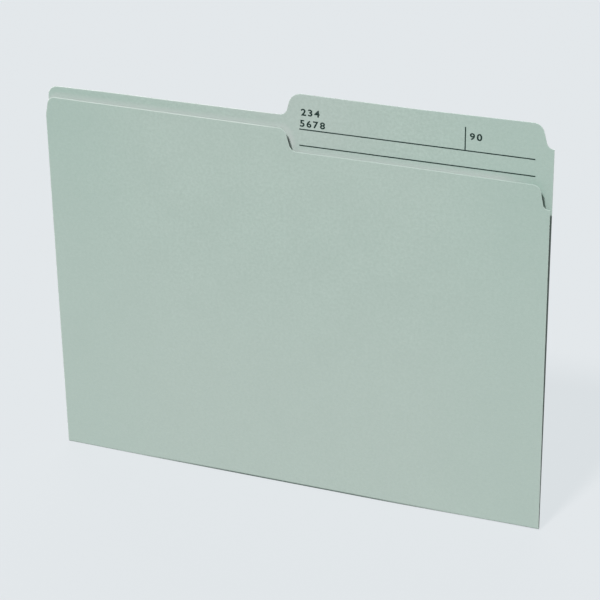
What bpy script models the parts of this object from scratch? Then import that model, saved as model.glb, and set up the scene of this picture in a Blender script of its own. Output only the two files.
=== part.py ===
"""File folder: one sheet of card, die-cut and creased into a back leaf with a half-cut tab,
a narrow fold strip and a front leaf that is cut lower than the back one.

Metres, +Z up. The folder stands on its fold, slightly open. The origin is the centre of the
fold strip's underside, +X runs along the fold and +Y from the front leaf to the back leaf.
"""

import math

import bpy

INCH = 0.0254

# The sheet
WIDTH = 11.75 * INCH
CARD = 0.00028
FOLD_WIDTH = 0.0014
PANEL_GAP = 0.0003

# Heights above the surface that the folder stands on
BACK_SHOULDER = 9.0 * INCH
TAB_TOP = 9.5 * INCH
FRONT_TOP = 8.75 * INCH
FRONT_MIDDLE = 8.25 * INCH
FRONT_END = 7.75 * INCH

# The steps in the cut edges: a straight flank with a rounded shoulder and a rounded foot
FLANK_ANGLE = math.radians(75)
STEP_TOP_RADIUS = 0.007
STEP_FOOT_RADIUS = 0.0045
TAB_STEP_X = -0.0007
FRONT_STEP_X = 0.0005
END_STEP_INSET = 0.0053

# Corners
BACK_CORNER_RADIUS = 0.25 * INCH
FRONT_CORNER_RADIUS = 0.009
ARC_STEP = math.radians(9)

# How far each leaf leans away from upright as the folder stands
REST_LEAN = math.radians(0.308)

CARD_COLOUR = (0.434, 0.527, 0.479, 1.0)
CARD_ROUGHNESS = 0.92

# Worked out from the dimensions above
CREASE_Z = CARD / 2
CREASE_Y = FOLD_WIDTH / 2
CREASE_CLEARANCE = CARD / 2 + PANEL_GAP / math.sqrt(2)
STRIP_WIDTH = FOLD_WIDTH - 2 * CREASE_CLEARANCE
END_STEP_X = WIDTH / 2 - END_STEP_INSET


def clear_scene():
    for thing in list(bpy.data.objects):
        bpy.data.objects.remove(thing, do_unlink=True)


def make_collection(name):
    collection = bpy.data.collections.new(name)
    bpy.context.scene.collection.children.link(collection)
    return collection


def card_material():
    material = bpy.data.materials.new("card")
    material.use_nodes = True
    shader = material.node_tree.nodes["Principled BSDF"]
    shader.inputs["Base Color"].default_value = CARD_COLOUR
    shader.inputs["Roughness"].default_value = CARD_ROUGHNESS
    shader.inputs["Metallic"].default_value = 0.0
    return material


def step(x, from_height, to_height, run):
    """Two corners of a step in the top edge, whose flank crosses x. run is the way along X."""
    half_run = abs(to_height - from_height) / 2 / math.tan(FLANK_ANGLE)
    rises = to_height > from_height
    first_radius = STEP_FOOT_RADIUS if rises else STEP_TOP_RADIUS
    last_radius = STEP_TOP_RADIUS if rises else STEP_FOOT_RADIUS
    return [
        (x - run * half_run, from_height, first_radius),
        (x + run * half_run, to_height, last_radius),
    ]


def round_corner(before, corner, after, radius):
    """Points of the arc that replaces a corner between two straight edges."""
    if radius == 0:
        return [corner]
    way_in = math.atan2(corner[1] - before[1], corner[0] - before[0])
    way_out = math.atan2(after[1] - corner[1], after[0] - corner[0])
    turn = (way_out - way_in + math.pi) % (2 * math.pi) - math.pi
    setback = radius * math.tan(abs(turn) / 2)
    side = math.copysign(1.0, turn)
    start_x = corner[0] - setback * math.cos(way_in)
    start_z = corner[1] - setback * math.sin(way_in)
    centre_x = start_x - side * radius * math.sin(way_in)
    centre_z = start_z + side * radius * math.cos(way_in)
    count = max(2, math.ceil(abs(turn) / ARC_STEP))
    points = []
    for i in range(count + 1):
        heading = way_in + turn * i / count
        x = centre_x + side * radius * math.sin(heading)
        z = centre_z - side * radius * math.cos(heading)
        points.append((x, z))
    return points


def round_outline(corners):
    """A closed outline from its corners (x, height, radius)."""
    points = []
    for i, (x, z, radius) in enumerate(corners):
        before = corners[i - 1][:2]
        after = corners[(i + 1) % len(corners)][:2]
        points += round_corner(before, (x, z), after, radius)
    return points


def back_corners():
    """The back leaf from its lower left corner, up and over the tab, seen from the front."""
    return [
        (-WIDTH / 2, CREASE_Z + CREASE_CLEARANCE, 0),
        (-WIDTH / 2, BACK_SHOULDER, BACK_CORNER_RADIUS),
        *step(TAB_STEP_X, BACK_SHOULDER, TAB_TOP, 1),
        *step(END_STEP_X, TAB_TOP, BACK_SHOULDER, 1),
        (WIDTH / 2, BACK_SHOULDER, 0),
        (WIDTH / 2, CREASE_Z + CREASE_CLEARANCE, 0),
    ]


def front_corners():
    """The front leaf in the same order. It steps down below the tab and again at the right."""
    return [
        (-WIDTH / 2, CREASE_Z + CREASE_CLEARANCE, 0),
        (-WIDTH / 2, FRONT_TOP, FRONT_CORNER_RADIUS),
        *step(FRONT_STEP_X, FRONT_TOP, FRONT_MIDDLE, 1),
        *step(END_STEP_X, FRONT_MIDDLE, FRONT_END, 1),
        (WIDTH / 2, FRONT_END, 0),
        (WIDTH / 2, CREASE_Z + CREASE_CLEARANCE, 0),
    ]


def make_leaf(name, corners, crease, material, collection):
    """A flat leaf of card on its crease: its outline lies in the curve's own plane."""
    curve = bpy.data.curves.new(name, "CURVE")
    curve.dimensions = "2D"
    curve.fill_mode = "BOTH"
    curve.extrude = CARD / 2
    outline = round_outline(corners)
    spline = curve.splines.new("POLY")
    spline.points.add(len(outline) - 1)
    for point, (x, z) in zip(spline.points, outline):
        point.co = (x, z - CREASE_Z, 0, 1)
    spline.use_cyclic_u = True
    spline.use_smooth = False
    curve.materials.append(material)
    leaf = bpy.data.objects.new(name, curve)
    leaf.rotation_euler = (math.radians(90), 0, 0)
    leaf.parent = crease
    collection.objects.link(leaf)
    return leaf


def make_crease(name, y, lean, collection):
    """The axis that a leaf turns on. A positive lean tips the leaf's top towards -Y."""
    crease = bpy.data.objects.new(name, None)
    crease.empty_display_size = WIDTH / 10
    crease.location = (0, y, CREASE_Z)
    crease.rotation_euler = (lean, 0, 0)
    collection.objects.link(crease)
    return crease


def make_fold_strip(material, collection):
    """The flat bottom of the fold, between the two creases."""
    bpy.ops.mesh.primitive_cube_add(size=1)
    strip = bpy.context.active_object
    strip.name = "fold_strip"
    strip.scale = (WIDTH, STRIP_WIDTH, CARD)
    bpy.ops.object.transform_apply(location=False, rotation=False, scale=True)
    strip.location = (0, 0, CREASE_Z)
    strip.data.materials.append(material)
    for owner in list(strip.users_collection):
        owner.objects.unlink(strip)
    collection.objects.link(strip)
    return strip


def make_folder():
    clear_scene()
    collection = make_collection("file_folder")
    material = card_material()
    make_fold_strip(material, collection)
    back_crease = make_crease("back_crease", CREASE_Y, -REST_LEAN, collection)
    make_leaf("back_leaf", back_corners(), back_crease, material, collection)
    front_crease = make_crease("front_crease", -CREASE_Y, REST_LEAN, collection)
    make_leaf("front_leaf", front_corners(), front_crease, material, collection)


make_folder()
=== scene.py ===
"""File folder of grey-green card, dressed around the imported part.

Metres, +Z up. The folder stands on its fold: +X runs along the fold, to the right seen from the
front, and +Y from the front leaf to the back leaf. Each half of the card runs from the middle of
the rounded fold up one leaf, with its die-cut outline, rounded cut edges and slight bow.
"""

import math

import bmesh
import bpy
import numpy as np
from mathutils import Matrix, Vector


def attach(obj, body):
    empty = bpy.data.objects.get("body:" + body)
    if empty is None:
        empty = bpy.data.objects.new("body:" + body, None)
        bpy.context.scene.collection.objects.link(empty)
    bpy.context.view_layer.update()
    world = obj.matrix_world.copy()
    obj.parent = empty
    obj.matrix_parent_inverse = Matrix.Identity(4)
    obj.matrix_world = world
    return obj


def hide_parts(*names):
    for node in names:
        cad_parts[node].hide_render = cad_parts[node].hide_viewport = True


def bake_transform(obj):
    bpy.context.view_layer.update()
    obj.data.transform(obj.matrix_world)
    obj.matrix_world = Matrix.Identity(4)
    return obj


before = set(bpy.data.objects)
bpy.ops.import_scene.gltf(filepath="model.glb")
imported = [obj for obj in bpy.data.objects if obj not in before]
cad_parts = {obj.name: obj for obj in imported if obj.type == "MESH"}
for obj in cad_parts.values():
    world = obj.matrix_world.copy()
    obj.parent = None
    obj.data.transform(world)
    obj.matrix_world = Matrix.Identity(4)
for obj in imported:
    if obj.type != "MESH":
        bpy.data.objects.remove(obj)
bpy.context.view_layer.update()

MM = 0.001
INCH = 0.0254

# The sheet. Its leaves lean a little away from upright, one on each side of the fold
WIDTH = 11.75 * INCH
CARD = 0.28 * MM
FOLD_HALF = 0.7 * MM
LEAN = math.tan(math.radians(0.308))

# The cut edges as x, height and radius in mm. They follow the solids to about 1.6 mm, with the
# small waviness and skew of the real card.
# A step is given by x, the angle of its flank, its two heights and its two radii.
BACK_LEFT = [(-149.225, 228.35, 6.1), (-112.0, 228.72, 0), (-72.0, 228.55, 0)]
BACK_TAB_STEP = (-0.6, 75, 228.45, 241.62, 4.8, 7.8)
BACK_TAB_TOP = [(75.0, 240.86, 0)]
BACK_END_STEP = (144.05, 75, 241.18, 227.65, 6.0, 4.1)
FRONT_LEFT = [(-149.225, 212.3, 12.0), (-147.0, 223.3, 5.0), (-125.0, 223.04, 0)]
FRONT_TAB_STEP = (0.2, 74, 221.95, 209.2, 4.8, 4.6)
FRONT_MIDDLE = [(60.0, 209.18, 0)]
FRONT_END_STEP = (144.5, 79, 208.5, 195.3, 4.5, 3.2)

# The leaves bow out a little at their ends, and the fold's two ends stand off the table
BOW = 0.28 * MM
BOW_START = 20 * MM
BOW_HEIGHT = 100 * MM
RIGHT_LIFT = 0.95 * MM
RIGHT_LIFT_START = 50 * MM
LEFT_LIFT = 0.3 * MM
LEFT_LIFT_START = 90 * MM
LIFT_HEIGHT = 60 * MM

# Half the card's thickness at some distances from a cut edge, which the die rounds
EDGE_DISTANCES = np.array([0.0, 0.08, 0.20, 0.35]) * MM
EDGE_HALVES = np.array([0.060, 0.115, 0.135, 0.140]) * MM

# A paler band is painted on the inner face of the back leaf, centred a little below the height of
# the front leaf's cut edge: painted light that lifts the shade between the leaves. Faces without
# the band get, as their distance to that edge, the large number in mm that follows.
LIGHT_BAND_BELOW = 1.2 * MM
NO_LIGHT_BAND = 99.0

# The mesh. Its rows go round the fold, up from it at LOW_ROWS, evenly to about COMMON_BELOW under
# the lowest cut edge, and then stretched to the first of those that follow the cut edge.
NOSE_TOP = CARD / 2 + FOLD_HALF
NOSE_ROWS = 14
LOW_ROWS = [0, 0.3 * MM, 0.9 * MM, 2 * MM, 4 * MM]
COMMON_BELOW = 20 * MM
STRETCHED_ROWS = 6
ROW_SPACING = 4 * MM
COLUMN_SPACING = 4 * MM
RIM_SPACINGS = np.array([0.0, 0.08, 0.20, 0.35, 0.7, 1.3, 2.4, 4.2, 7.0]) * MM
SMALLEST_SPACING = 0.09 * MM
SMOOTH_ANGLE = math.radians(50)
ARC_STEP = math.radians(7)
SAME_PLACE = 1e-9
MERGE_DISTANCE = 1e-7

# How far to each side slopes are measured: on the leaf, and round the fold as a share of its turn
PROBE = 0.02 * MM
NOSE_PROBE = 0.01

# The print on the front face of the tab. Places are x and height in mm.
RULES = {
    "rule_upper": ((5.7, 221.42), (139.1, 221.0)),
    "rule_lower": ((5.6, 212.05), (139.4, 211.58)),
    "divider": ((100.5, 221.2), (100.5, 234.3)),
}
DIGITS = {
    "digits_top": ("234", 6.3, 229.3),
    "digits_left": ("5678", 5.5, 222.85),
    "digits_right": ("90", 102.4, 227.3),
}
RULE_HALF = 0.34 * MM
DIGIT_HEIGHT = 4.0 * MM
DIGIT_PITCH = 3.95 * MM
DIGIT_STRETCH = 1.15
DIGIT_BOLDNESS = 0.03
DIGIT_CURVE_STEPS = 6
INK_RISE = 0.012 * MM
INK_ROOT = 0.05 * MM

# A noise is given by its scale per mm, its levels of detail, its roughness and, for fibres, its
# distortion. A spread is the part of its values over which it takes effect.
USUAL_SPREAD = (0.3, 0.7)

# The mottling of the card, from wide clouds to fine felt, and how strongly each shows
CLOUDS = (0.035, 3.0, 0.55)
CLOUD_DARK = (0.417, 0.530, 0.478, 1)
CLOUD_PALE = (0.446, 0.567, 0.511, 1)
CLUMPS = (0.16, 4.0, 0.6)
CLUMP_SPREAD = (0.25, 0.75)
CLUMP_SHARE = 0.4
CLUMP_PALE = (0.476, 0.581, 0.536, 1)
GRAIN = (0.6, 3.0, 0.6)
GRAIN_SHARE = 0.6
GRAIN_DARK = (0.336, 0.441, 0.391, 1)
FELT = (1.6, 5.0, 0.7)
FELT_SPREAD = (0.35, 0.75)
FELT_SHARE = 0.6
FELT_DARK = (0.373, 0.488, 0.436, 1)

# Slow tints of painted light and shade, and a painted contact shadow at the fold. Each is a colour
# and its fades, whose shares are multiplied. A fade goes from one share to another between two
# places in mm: x along the fold, across the same as a distance from its middle, up from the fold on
# the back leaf and negative on the front one, along the same as a distance, and depth outwards from
# the middle of the card.
# Painted light and shade on the leaves: greyer and warmer towards the fold for light thrown up from
# the floor, darker towards both ends and the upper corners, paler high on the front leaf's middle
# and on the tab.
PAINTED_BOUNCE_LIGHT = (0.446, 0.531, 0.492, 1)
PAINTED_END_SHADE = (0.392, 0.511, 0.462, 1)
PAINTED_FRONT_TOP_LIGHT = (0.455, 0.545, 0.500, 1)
PAINTED_CORNER_SHADE = (0.350, 0.480, 0.425, 1)
PAINTED_TAB_LIGHT = (0.470, 0.512, 0.495, 1)
# Painted shadow: a dark line on the outer face of the fold, strongest in the middle of its length,
# where it meets the floor.
PAINTED_CONTACT_SHADOW = (0.10, 0.14, 0.125, 1)
PAINTED_LEAF_LIGHT = [
    (PAINTED_BOUNCE_LIGHT, [("along", 30.0, 230.0, 0.6, 0.0)]),
    (PAINTED_END_SHADE, [("across", 60.0, 149.0, 0.0, 0.42)]),
    (PAINTED_FRONT_TOP_LIGHT, [("up", -215.0, -140.0, 0.25, 0.0), ("across", 60.0, 140.0, 1.0, 0.0)]),
    (PAINTED_CORNER_SHADE, [("across", 70.0, 149.0, 0.0, 0.35), ("along", 120.0, 220.0, 0.0, 1.0)]),
    (PAINTED_TAB_LIGHT, [("across", 0.0, 85.0, 0.3, 0.0), ("up", 205.0, 215.0, 0.0, 1.0)]),
]
CONTACT_SHADOW_FADES = [
    ("along", 1.0, 1.9, 0.95, 0.0),
    ("across", 30.0, 115.0, 1.0, 0.0),
    ("depth", 0.0, 0.05, 0.0, 1.0),
]
PAINTED_FOLD_SHADOW = [(PAINTED_CONTACT_SHADOW, CONTACT_SHADOW_FADES)]

# The painted light band between the leaves, and the pale cut edges with their painted highlight:
# their width in mm, and how their strength changes with x
LIGHT_BAND_WIDTH = 4.2
LIGHT_BAND_FADE = (118.0, 140.0, 0.9, 0.0)
# Painted light: the colour of the paler band by the front leaf's cut edge
PAINTED_BAND_LIGHT = (0.535, 0.588, 0.566, 1)
EDGE_PALE_WIDTH = (0.04, 0.40)
EDGE_PALE_RAGGEDNESS = (-0.05, 0.08)
EDGE_PALE_FADE = (-16.0, -4.0, 0.9, 0.25)
# Paler cut edges: partly the card's paler core, partly a painted highlight, stronger on the left
PALE_CUT_AND_HIGHLIGHT = (0.66, 0.73, 0.69, 1)

# Fibres: the turn and size of each kind. They lie where a stretched noise crosses its middle.
PALE_FIBRES = [(0.45, 1.0), (-0.9, 1.3)]
PALE_SHARE = 0.30
PALE_RELIEF = 0.25
PALE_FIBRE = (0.56, 0.63, 0.59, 1)
DARK_FIBRES = [(1.9, 0.8), (-0.1, 1.1)]
DARK_SHARE = 0.22
DARK_RELIEF = 0.2
DARK_FIBRE = (0.30, 0.39, 0.345, 1)
FIBRE_NOISE = (1.0, 2.0, 0.5, 1.1)
FIBRE_STRETCH = (0.35, 3.2, 1.0)
FIBRE_WIDTH = 0.022

# Ink: deep where it covers well, and thinner elsewhere, with specks where the card shows through
COVERAGE = (2.2, 4.0, 0.65)
COVERAGE_SPREAD = (0.35, 0.7)
SPECKLE = (7.0, 3.0, 0.6)
SPECK_SPREAD = (0.62, 0.76)
SPECK_SHARE = 0.25
INK_DEEP = (0.004, 0.018, 0.014, 1)
INK_THIN = (0.009, 0.031, 0.025, 1)
INK_SPECK = (0.10, 0.13, 0.12, 1)

# Surfaces
CARD_ROUGHNESS = (0.84, 0.95)
CARD_RELIEF = 0.03 * MM
CARD_BUMP = 0.6
INK_ROUGHNESS = (0.55, 0.75)
INK_RELIEF = 0.01 * MM
INK_BUMP = 0.5
GLOSS = 0.3

# The stage
BACKGROUND = (0.7605, 0.7991, 0.8228, 1.0)
ROOM_LIGHT = (0.97, 0.99, 1.0, 1)
ROOM_STRENGTH = 0.29
FLOOR_SIZE = 30
FLOOR_HEIGHT = -0.3 * MM
FLOOR_GLOW = (0.951, 1.013, 1.048, 1.0)
FLOOR_BOUNCE = (0.257, 0.236, 0.236, 1.0)
FLOOR_GLOW_SHARE = 0.70
CAMERA_LENS = 126.501
CAMERA_SENSOR = 36
CAMERA_NEAR = 0.01
CAMERA_FAR = 50
CAMERA_PLACE = (0.42282, -0.99931, 0.61252)
CAMERA_TURN = [math.radians(angle) for angle in (65.529, 0.758, 22.327)]


def smooth(t):
    """A smooth rise from 0 to 1 as t goes from 0 to 1."""
    t = np.clip(t, 0.0, 1.0)
    return t * t * (3 - 2 * t)


# The outline


def step(x, angle, from_height, to_height, first_radius, last_radius):
    """Two corners of a step in the top edge, whose flank crosses x."""
    half_run = abs(to_height - from_height) / 2 / math.tan(math.radians(angle))
    return [(x - half_run, from_height, first_radius), (x + half_run, to_height, last_radius)]


def round_corner(before, corner, after, radius):
    """Points of the arc that replaces a corner between two straight edges."""
    if radius == 0:
        return [corner]
    way_in = math.atan2(corner[1] - before[1], corner[0] - before[0])
    way_out = math.atan2(after[1] - corner[1], after[0] - corner[0])
    turn = (way_out - way_in + math.pi) % (2 * math.pi) - math.pi
    setback = radius * math.tan(abs(turn) / 2)
    side = math.copysign(1.0, turn)
    start_x = corner[0] - setback * math.cos(way_in)
    start_z = corner[1] - setback * math.sin(way_in)
    centre_x = start_x - side * radius * math.sin(way_in)
    centre_z = start_z + side * radius * math.cos(way_in)
    count = max(2, math.ceil(abs(turn) / ARC_STEP))
    points = []
    for i in range(count + 1):
        heading = way_in + turn * i / count
        x = centre_x + side * radius * math.sin(heading)
        z = centre_z - side * radius * math.cos(heading)
        points.append((x, z))
    return points


def cut_edge(corners):
    """The edge from the lower left corner over the top to the lower right one, as points."""
    half = WIDTH / 2 / MM
    corners = [(-half, 0, 0), *corners, (half, corners[-1][1], 0), (half, 0, 0)]
    points = [corners[0][:2]]
    for before, corner, after in zip(corners, corners[1:], corners[2:]):
        points += round_corner(before[:2], corner[:2], after[:2], corner[2])
    points.append(corners[-1][:2])
    return np.array(points) * MM


def back_edge():
    return cut_edge([*BACK_LEFT, *step(*BACK_TAB_STEP), *BACK_TAB_TOP, *step(*BACK_END_STEP)])


def front_edge():
    return cut_edge([*FRONT_LEFT, *step(*FRONT_TAB_STEP), *FRONT_MIDDLE, *step(*FRONT_END_STEP)])


def distance_to_edge(x, z, edge):
    """Distance of each point to the cut edge."""
    nearest = np.full(x.shape, np.inf)
    for (ax, az), (bx, bz) in zip(edge, edge[1:]):
        along = np.array([bx - ax, bz - az])
        length = along @ along
        if length == 0:
            continue
        t = np.clip(((x - ax) * along[0] + (z - az) * along[1]) / length, 0, 1)
        gap = np.hypot(x - ax - t * along[0], z - az - t * along[1])
        nearest = np.minimum(nearest, gap)
    return nearest


def top_curve(edge):
    """The cut edge as a height for each x: its parts between the two side edges."""
    inside = np.abs(edge[:, 0]) <= WIDTH / 2
    points = edge[inside][1:-1]
    order = np.argsort(points[:, 0], kind="stable")
    x, z = points[order, 0], points[order, 1]
    first = np.concatenate([[True], np.diff(x) > SAME_PLACE])
    return x[first], z[first]


# The sheet's shape


def middle_point(x, row, side):
    """Middle of the card at x and row: up to 1 round the fold, then 1 + the height above it."""
    angle = np.minimum(row, 1.0) * math.pi / 2
    above = np.maximum(row - 1.0, 0)
    bow = BOW * smooth((np.abs(x) - BOW_START) / (WIDTH / 2 - BOW_START))
    bow = bow * smooth(above / BOW_HEIGHT)
    lift = RIGHT_LIFT * smooth((x - RIGHT_LIFT_START) / (WIDTH / 2 - RIGHT_LIFT_START))
    lift = lift + LEFT_LIFT * smooth((-x - LEFT_LIFT_START) / (WIDTH / 2 - LEFT_LIFT_START))
    y = np.where(row <= 1, FOLD_HALF * np.sin(angle), FOLD_HALF + above * LEAN + bow)
    z = np.where(row <= 1, CARD / 2 + FOLD_HALF * (1 - np.cos(angle)), NOSE_TOP + above)
    z = z + lift * (1 - smooth(above / LIFT_HEIGHT))
    return np.stack([x + 0 * y, side * y, z], -1)


def outward(x, row, side):
    """Unit normal of the card's outer face."""
    across = middle_point(x + PROBE, row, side) - middle_point(x - PROBE, row, side)
    higher = row + np.where(row < 1, NOSE_PROBE, PROBE)
    lower = row - np.where(row <= 1, NOSE_PROBE, PROBE)
    up = middle_point(x, higher, side) - middle_point(x, lower, side)
    normal = np.cross(across, up) * -side
    return normal / np.linalg.norm(normal, axis=-1, keepdims=True)


def filled(values, spacing):
    """Sorted values with steps no longer than spacing between them."""
    out = [values[0]]
    for a, b in zip(values, values[1:]):
        count = max(1, math.ceil((b - a) / spacing))
        out += [a + (b - a) * i / count for i in range(1, count + 1)]
    return np.array(out)


def column_places(edge):
    """Places along the fold where the mesh has a column of points."""
    places = [x for x, z in edge if abs(x) < WIDTH / 2 - SMALLEST_SPACING]
    for side in (-1, 1):
        for inset in RIM_SPACINGS:
            x = side * (WIDTH / 2 - inset)
            if inset == 0 or min(abs(x - p) for p in places) > SMALLEST_SPACING / 2:
                places.append(x)
    places.sort()
    kept = [places[0]]
    for x in places[1:]:
        if x - kept[-1] > SMALLEST_SPACING / 2:
            kept.append(x)
    kept[-1] = WIDTH / 2
    return filled(kept, COLUMN_SPACING)


def leaf_grid(edge):
    """x and row of each point of a leaf, columns first."""
    columns = column_places(edge)
    heights = np.interp(columns, *top_curve(edge))
    common = heights.min() - COMMON_BELOW
    nose = np.linspace(0, 1, NOSE_ROWS + 1)
    low = 1 + filled([*LOW_ROWS, common], ROW_SPACING)[1:]
    rim = RIM_SPACINGS[::-1]
    rows = []
    for height in heights:
        reach = height - NOSE_TOP
        stretched = np.linspace(common, reach - rim[0], STRETCHED_ROWS + 2)[1:-1]
        rows.append(np.concatenate([nose, low, 1 + stretched, 1 + reach - rim]))
    rows = np.array(rows)
    return np.repeat(columns[:, None], rows.shape[1], 1), rows


def sheet_faces(columns, rows):
    """Faces of the sheet's outer side, its inner side and the rim that joins them."""
    count = columns * rows
    outer = np.arange(count).reshape(columns, rows)
    quads = []
    for grid in (outer, outer + count):
        quad = [grid[:-1, :-1], grid[1:, :-1], grid[1:, 1:], grid[:-1, 1:]]
        quads.append(np.stack(quad, -1).reshape(-1, 4))
    border = np.concatenate([outer[0, :], outer[1:, -1], outer[-1, -2::-1], outer[-2:0:-1, 0]])
    following = np.roll(border, -1)
    quads.append(np.stack([border, following, following + count, border + count], -1))
    return np.concatenate(quads)


def closed_mesh(name, points, faces, merge=False):
    """A mesh whose faces all point outwards."""
    mesh = bpy.data.meshes.new(name)
    mesh.from_pydata(points, [], faces)
    work = bmesh.new()
    work.from_mesh(mesh)
    if merge:
        bmesh.ops.remove_doubles(work, verts=work.verts, dist=MERGE_DISTANCE)
    bmesh.ops.recalc_face_normals(work, faces=work.faces)
    work.to_mesh(mesh)
    work.free()
    return mesh


def add_vectors(mesh, name, values):
    attribute = mesh.attributes.new(name, "FLOAT_VECTOR", "POINT")
    attribute.data.foreach_set("vector", values.astype(np.float32).ravel())


def add_values(mesh, name, values):
    attribute = mesh.attributes.new(name, "FLOAT", "POINT")
    attribute.data.foreach_set("value", values.astype(np.float32))


def add_object(name, data):
    thing = bpy.data.objects.new(name, data)
    bpy.context.scene.collection.objects.link(thing)
    return thing


def make_card(name, edge, side, band_edge=None):
    """Half of the sheet: one leaf and its half of the rounded fold.

    Three attributes in mm guide its material. sheet is x, the way from the middle of the fold,
    which is negative in front, and the depth. rim is the distance to the cut edge, and the third,
    for the painted light band, is the distance to the top of the edge in the last argument.
    """
    x, row = leaf_grid(edge)
    middle = middle_point(x, row, side)
    normal = outward(x, row, side)
    distance = distance_to_edge(x, middle[..., 2], edge)
    half = np.interp(distance, EDGE_DISTANCES, EDGE_HALVES)
    arc = FOLD_HALF * math.pi / 2 * np.minimum(row, 1) + np.maximum(row - 1, 0)
    points, sheet = [], []
    for face in (1, -1):
        depth = face * half
        points.append((middle + depth[..., None] * normal).reshape(-1, 3))
        sheet.append(np.stack([x, side * arc, depth], -1).reshape(-1, 3) / MM)
    outer_band = np.full(x.size, NO_LIGHT_BAND)
    inner_band = outer_band
    if band_edge is not None:
        raised = middle[..., 2] + LIGHT_BAND_BELOW
        inner_band = distance_to_edge(x, raised, band_edge[1:-1]).reshape(-1) / MM
    faces = sheet_faces(*x.shape)
    mesh = closed_mesh(name, np.concatenate(points).tolist(), faces.tolist())
    add_vectors(mesh, "sheet", np.concatenate(sheet))
    add_values(mesh, "rim", np.tile(distance.reshape(-1) / MM, 2))
    add_values(mesh, "light_band", np.concatenate([outer_band, inner_band]))
    mesh.shade_smooth()
    mesh.set_sharp_from_angle(angle=SMOOTH_ANGLE)
    return add_object(name, mesh)


# The print


def on_tab(x, z, rise):
    """A point above the front face of the back leaf, at x and height z."""
    row = 1 + z - NOSE_TOP
    middle = middle_point(x, row, 1)
    normal = outward(x, row, 1)
    return middle - normal * (CARD / 2 + rise)[..., None]


def ink_piece(name, flat, faces, material):
    """A closed film of ink. Its points are x, height and 1 on its face or 0 at its root."""
    flat = np.array(flat)
    rise = np.where(flat[:, 2] > 0.5, INK_RISE, -INK_ROOT)
    points = on_tab(flat[:, 0], flat[:, 1], rise)
    mesh = closed_mesh(name, points.tolist(), faces, merge=True)
    coordinates = np.array([v.co for v in mesh.vertices]) / MM
    add_vectors(mesh, "sheet", coordinates[:, [0, 2, 1]])
    mesh.materials.append(material)
    piece = add_object(name, mesh)
    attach(piece, "back")


def rule(name, start, end, material):
    """A ruled line from start to end, each as x and height in mm."""
    start, end = np.array(start) * MM, np.array(end) * MM
    length = np.linalg.norm(end - start)
    along = (end - start) / length
    aside = np.array([-along[1], along[0]]) * RULE_HALF
    stations = filled([0, length], COLUMN_SPACING)
    flat, faces = [], []
    for station in stations:
        place = start + along * station
        for sign in (-1, 1):
            for top in (0, 1):
                flat.append((*(place + sign * aside), top))
    last = 4 * (len(stations) - 1)
    for a in range(0, last, 4):
        b = a + 4
        faces += [(a, b, b + 1, a + 1), (a + 1, b + 1, b + 3, a + 3)]
        faces += [(a + 3, b + 3, b + 2, a + 2), (a + 2, b + 2, b, a)]
    faces += [(0, 1, 3, 2), (last, last + 2, last + 3, last + 1)]
    ink_piece(name, flat, faces, material)


def digit_shape(digit):
    """Points and faces of a solid digit, half of it on each side of its plane."""
    curve = bpy.data.curves.new("digit", "FONT")
    curve.body = digit
    curve.extrude = 0.5
    curve.offset = DIGIT_BOLDNESS
    curve.resolution_u = DIGIT_CURVE_STEPS
    holder = add_object("digit", curve)
    bpy.context.view_layer.update()
    shape = holder.evaluated_get(bpy.context.evaluated_depsgraph_get())
    mesh = bpy.data.meshes.new_from_object(shape)
    points = np.array([v.co for v in mesh.vertices])
    faces = [list(polygon.vertices) for polygon in mesh.polygons]
    bpy.data.objects.remove(holder, do_unlink=True)
    bpy.data.curves.remove(curve)
    bpy.data.meshes.remove(mesh)
    return points, faces


def digits(name, text, x, z, material):
    """A run of plain digits, each in the middle of its cell.

    The lower left corner of the first cell is at x and height z in mm.
    """
    flat, faces = [], []
    for place, digit in enumerate(text):
        points, digit_faces = digit_shape(digit)
        low, high = points.min(0), points.max(0)
        scale = DIGIT_HEIGHT / (high[1] - low[1])
        across = scale * DIGIT_STRETCH
        left = x * MM + place * DIGIT_PITCH + (DIGIT_PITCH - (high[0] - low[0]) * across) / 2
        first = len(flat)
        for px, py, pz in points:
            flat.append((left + (px - low[0]) * across, z * MM + (py - low[1]) * scale, pz > 0))
        faces += [[first + v for v in face] for face in digit_faces]
    ink_piece(name, flat, faces, material)


# Materials


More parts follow.
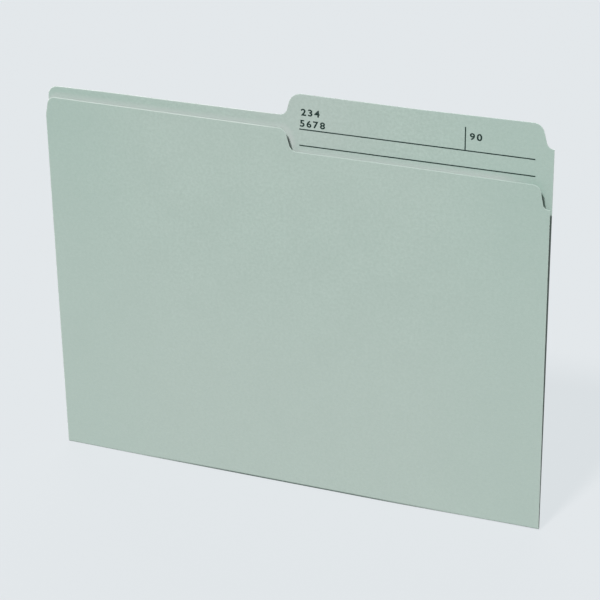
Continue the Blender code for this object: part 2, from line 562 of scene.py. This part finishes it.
class Tree:
    """The shader nodes of a material or a world, with short ways to add and join them."""

    def __init__(self, owner):
        owner.use_nodes = True
        self.nodes = owner.node_tree.nodes
        self.links = owner.node_tree.links
        self.nodes.clear()

    def put(self, socket, value):
        if isinstance(value, bpy.types.NodeSocket):
            self.links.new(value, socket)
        else:
            socket.default_value = value

    def add(self, kind, **inputs):
        node = self.nodes.new(kind)
        for key, value in inputs.items():
            self.put(node.inputs[key.replace("_", " ")], value)
        return node

    def attribute(self, name, output):
        node = self.nodes.new("ShaderNodeAttribute")
        node.attribute_name = name
        return node.outputs[output]

    def noise(self, vector, scale, detail, roughness, distortion=0.0):
        node = self.add(
            "ShaderNodeTexNoise",
            Vector=vector,
            Scale=scale,
            Detail=detail,
            Roughness=roughness,
            Distortion=distortion,
        )
        return node.outputs["Fac"]

    def fit(self, value, low, high, to_low=0.0, to_high=1.0, smoothly=True):
        """value carried from low..high to to_low..to_high, and kept within them."""
        node = self.nodes.new("ShaderNodeMapRange")
        node.interpolation_type = "SMOOTHSTEP" if smoothly else "LINEAR"
        for socket, number in zip(list(node.inputs)[:5], (value, low, high, to_low, to_high)):
            self.put(socket, number)
        return node.outputs["Result"]

    def math(self, operation, first, second=0.0):
        node = self.nodes.new("ShaderNodeMath")
        node.operation = operation
        self.put(node.inputs[0], first)
        self.put(node.inputs[1], second)
        return node.outputs["Value"]

    def product(self, first, *others):
        for other in others:
            first = self.math("MULTIPLY", first, other)
        return first

    def mix(self, share, first, second):
        """Two colours mixed: the first at share 0, the second at share 1."""
        node = self.nodes.new("ShaderNodeMix")
        node.data_type = "RGBA"
        self.put(node.inputs["Factor"], share)
        self.put(node.inputs[6], first)
        self.put(node.inputs[7], second)
        return node.outputs[2]

    def mix_shaders(self, share, first, second):
        node = self.nodes.new("ShaderNodeMixShader")
        self.put(node.inputs[0], share)
        self.links.new(first.outputs[0], node.inputs[1])
        self.links.new(second.outputs[0], node.inputs[2])
        return node

    def bump(self, height, distance, strength):
        node = self.add("ShaderNodeBump", Height=height, Distance=distance, Strength=strength)
        return node.outputs["Normal"]

    def show(self, kind, shader):
        """Join shader to a new output node of this kind."""
        output = self.nodes.new(kind)
        self.links.new(shader.outputs[0], output.inputs["Surface"])

    def show_matte(self, colour, roughness, normal):
        """Join a matte surface to the material's output."""
        shader = self.nodes.new("ShaderNodeBsdfPrincipled")
        self.put(shader.inputs["Base Color"], colour)
        self.put(shader.inputs["Roughness"], roughness)
        self.put(shader.inputs["Normal"], normal)
        self.put(shader.inputs["Specular IOR Level"], GLOSS)
        self.show("ShaderNodeOutputMaterial", shader)


def sheet_places(tree, sheet):
    """The places that fades run along, by name."""
    x, up, depth = tree.add("ShaderNodeSeparateXYZ", Vector=sheet).outputs
    across = tree.math("ABSOLUTE", x)
    along = tree.math("ABSOLUTE", up)
    return {"x": x, "across": across, "up": up, "along": along, "depth": depth}


def mottled(tree, sheet, felt):
    """The colour of bare card, from wide clouds to fine felt."""
    clouds = tree.noise(sheet, *CLOUDS)
    clumps = tree.noise(sheet, *CLUMPS)
    grain = tree.noise(sheet, *GRAIN)
    colour = tree.mix(tree.fit(clouds, *USUAL_SPREAD), CLOUD_DARK, CLOUD_PALE)
    colour = tree.mix(tree.fit(clumps, *CLUMP_SPREAD, 0.0, CLUMP_SHARE), colour, CLUMP_PALE)
    colour = tree.mix(tree.fit(grain, *USUAL_SPREAD, 0.0, GRAIN_SHARE), colour, GRAIN_DARK)
    return tree.mix(tree.fit(felt, *FELT_SPREAD, 0.0, FELT_SHARE), colour, FELT_DARK)


def tinted(tree, colour, places, tints):
    """The colour under some tints of painted light and shade, one after the other."""
    for tint, fades in tints:
        shares = [tree.fit(places[name], *fade) for name, *fade in fades]
        colour = tree.mix(tree.product(*shares), colour, tint)
    return colour


def add_band_light(tree, colour, places):
    """Painted light: a paler band by the front leaf's cut edge, fading towards the right."""
    strength = tree.fit(places["x"], *LIGHT_BAND_FADE)
    share = tree.fit(tree.attribute("light_band", "Fac"), 0.0, LIGHT_BAND_WIDTH, strength, 0.0)
    return tree.mix(share, colour, PAINTED_BAND_LIGHT)


def pale_cut_edges(tree, colour, places, felt):
    """Paler cut edges, from their core and a painted highlight, more so left of the tab."""
    ragged = tree.fit(felt, *USUAL_SPREAD, *EDGE_PALE_RAGGEDNESS, smoothly=False)
    distance = tree.math("ADD", tree.attribute("rim", "Fac"), ragged)
    strength = tree.fit(places["x"], *EDGE_PALE_FADE)
    return tree.mix(tree.fit(distance, *EDGE_PALE_WIDTH, strength, 0.0), colour, PALE_CUT_AND_HIGHLIGHT)


def fibre(tree, sheet, turn, size):
    """Thin strands that wander about one direction: 1 on a strand, 0 beside it."""
    stretch = [size * way for way in FIBRE_STRETCH]
    node = tree.add("ShaderNodeMapping", Vector=sheet, Scale=stretch, Rotation=(0, 0, turn))
    field = tree.noise(node.outputs["Vector"], *FIBRE_NOISE)
    ridge = tree.math("ABSOLUTE", tree.math("SUBTRACT", field, 0.5))
    return tree.fit(ridge, 0.0, FIBRE_WIDTH, 1.0, 0.0)


def fibres(tree, sheet, kinds):
    first, second = [fibre(tree, sheet, turn, size) for turn, size in kinds]
    return tree.math("MAXIMUM", first, second)


def card_material():
    material = bpy.data.materials.new("grey_green_card")
    tree = Tree(material)
    sheet = tree.attribute("sheet", "Vector")
    places = sheet_places(tree, sheet)
    felt = tree.noise(sheet, *FELT)
    pale = fibres(tree, sheet, PALE_FIBRES)
    dark = fibres(tree, sheet, DARK_FIBRES)
    colour = mottled(tree, sheet, felt)
    # Painted light and shade over the leaves
    colour = tinted(tree, colour, places, PAINTED_LEAF_LIGHT)
    # Painted light: a paler band by the front leaf's cut edge
    colour = add_band_light(tree, colour, places)
    colour = tree.mix(tree.product(pale, PALE_SHARE), colour, PALE_FIBRE)
    colour = tree.mix(tree.product(dark, DARK_SHARE), colour, DARK_FIBRE)
    # Paler cut edges, partly their core and partly a painted highlight
    colour = pale_cut_edges(tree, colour, places, felt)
    # Painted shadow: a dark line on the outside of the fold where it meets the floor
    colour = tinted(tree, colour, places, PAINTED_FOLD_SHADOW)
    roughness = tree.fit(felt, *USUAL_SPREAD, *CARD_ROUGHNESS, smoothly=False)
    height = tree.math("ADD", felt, tree.product(pale, PALE_RELIEF))
    height = tree.math("SUBTRACT", height, tree.product(dark, DARK_RELIEF))
    tree.show_matte(colour, roughness, tree.bump(height, CARD_RELIEF, CARD_BUMP))
    return material


def ink_material():
    material = bpy.data.materials.new("dark_ink")
    tree = Tree(material)
    sheet = tree.attribute("sheet", "Vector")
    coverage = tree.noise(sheet, *COVERAGE)
    speckle = tree.noise(sheet, *SPECKLE)
    colour = tree.mix(tree.fit(coverage, *COVERAGE_SPREAD), INK_DEEP, INK_THIN)
    colour = tree.mix(tree.fit(speckle, *SPECK_SPREAD, 0.0, SPECK_SHARE), colour, INK_SPECK)
    roughness = tree.fit(coverage, *USUAL_SPREAD, *INK_ROUGHNESS, smoothly=False)
    tree.show_matte(colour, roughness, tree.bump(speckle, INK_RELIEF, INK_BUMP))
    return material


# The stage


def camera_share(tree):
    """1 for rays that show the background: from the camera, or mirrored or let through."""
    path = tree.nodes.new("ShaderNodeLightPath")
    seen = tree.math("MAXIMUM", path.outputs["Is Camera Ray"], path.outputs["Is Glossy Ray"])
    return tree.math("MAXIMUM", seen, path.outputs["Is Transmission Ray"])


def make_floor():
    """A wide pale floor. Most of what is seen of it is an even glow, so shadows on it are faint."""
    bpy.ops.mesh.primitive_plane_add(size=FLOOR_SIZE, location=(0, 0, FLOOR_HEIGHT))
    floor = bpy.context.active_object
    floor.name = "floor"
    material = bpy.data.materials.new("pale_floor")
    tree = Tree(material)
    plain = tree.add("ShaderNodeBsdfDiffuse", Color=FLOOR_BOUNCE)
    even = tree.add("ShaderNodeEmission", Color=FLOOR_GLOW, Strength=1.0)
    share = tree.product(camera_share(tree), FLOOR_GLOW_SHARE)
    tree.show("ShaderNodeOutputMaterial", tree.mix_shaders(share, plain, even))
    floor.data.materials.append(material)


def make_world():
    """Soft light from all round. Rays that show the background see a plain colour instead."""
    world = bpy.data.worlds.new("studio")
    bpy.context.scene.world = world
    tree = Tree(world)
    lit = tree.add("ShaderNodeBackground", Color=ROOM_LIGHT, Strength=ROOM_STRENGTH)
    seen = tree.add("ShaderNodeBackground", Color=BACKGROUND)
    tree.show("ShaderNodeOutputWorld", tree.mix_shaders(camera_share(tree), lit, seen))


def make_light(name, energy, angle, direction, colour):
    """A soft distant lamp that shines along direction. angle is how wide it looks, in degrees."""
    lamp = bpy.data.lights.new(name, "SUN")
    lamp.energy = energy
    lamp.angle = math.radians(angle)
    lamp.color = colour
    light = add_object(name, lamp)
    light.rotation_euler = Vector(direction).to_track_quat("-Z", "Y").to_euler()


def make_lights():
    """The key from the front and above, and a wide weaker lamp for the back."""
    make_light(
        "key",
        energy=3.52,
        angle=8,
        direction=(0.18, 1.0, -1.2),
        colour=(1.0, 1.0, 1.0),
    )
    make_light(
        "back_fill",
        energy=2.0,
        angle=60,
        direction=(0.4, -1.0, -0.35),
        colour=(0.98, 0.99, 1.0),
    )


def make_camera():
    data = bpy.data.cameras.new("camera")
    data.lens = CAMERA_LENS
    data.sensor_width = CAMERA_SENSOR
    data.clip_start = CAMERA_NEAR
    data.clip_end = CAMERA_FAR
    camera = add_object("camera", data)
    camera.location = CAMERA_PLACE
    camera.rotation_euler = CAMERA_TURN
    bpy.context.scene.camera = camera


# The folder


def make_folder():
    card = card_material()
    back = make_card("back_card", back_edge(), 1, front_edge())
    front = make_card("front_card", front_edge(), -1)
    for piece, body, side in ((back, "back", 1), (front, "front", -1)):
        piece.data.materials.append(card)
        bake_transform(piece)
    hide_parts("back_leaf")
    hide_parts("front_leaf", "fold_strip")


def make_print():
    """Two ruled lines and a divider on the tab, with plain digits beside them."""
    ink = ink_material()
    for name, (start, end) in RULES.items():
        rule(name, start, end, ink)
    for name, (text, x, z) in DIGITS.items():
        digits(name, text, x, z, ink)


bpy.context.scene.view_settings.view_transform = "Standard"
make_folder()
make_print()
make_floor()
make_world()
make_lights()
make_camera()
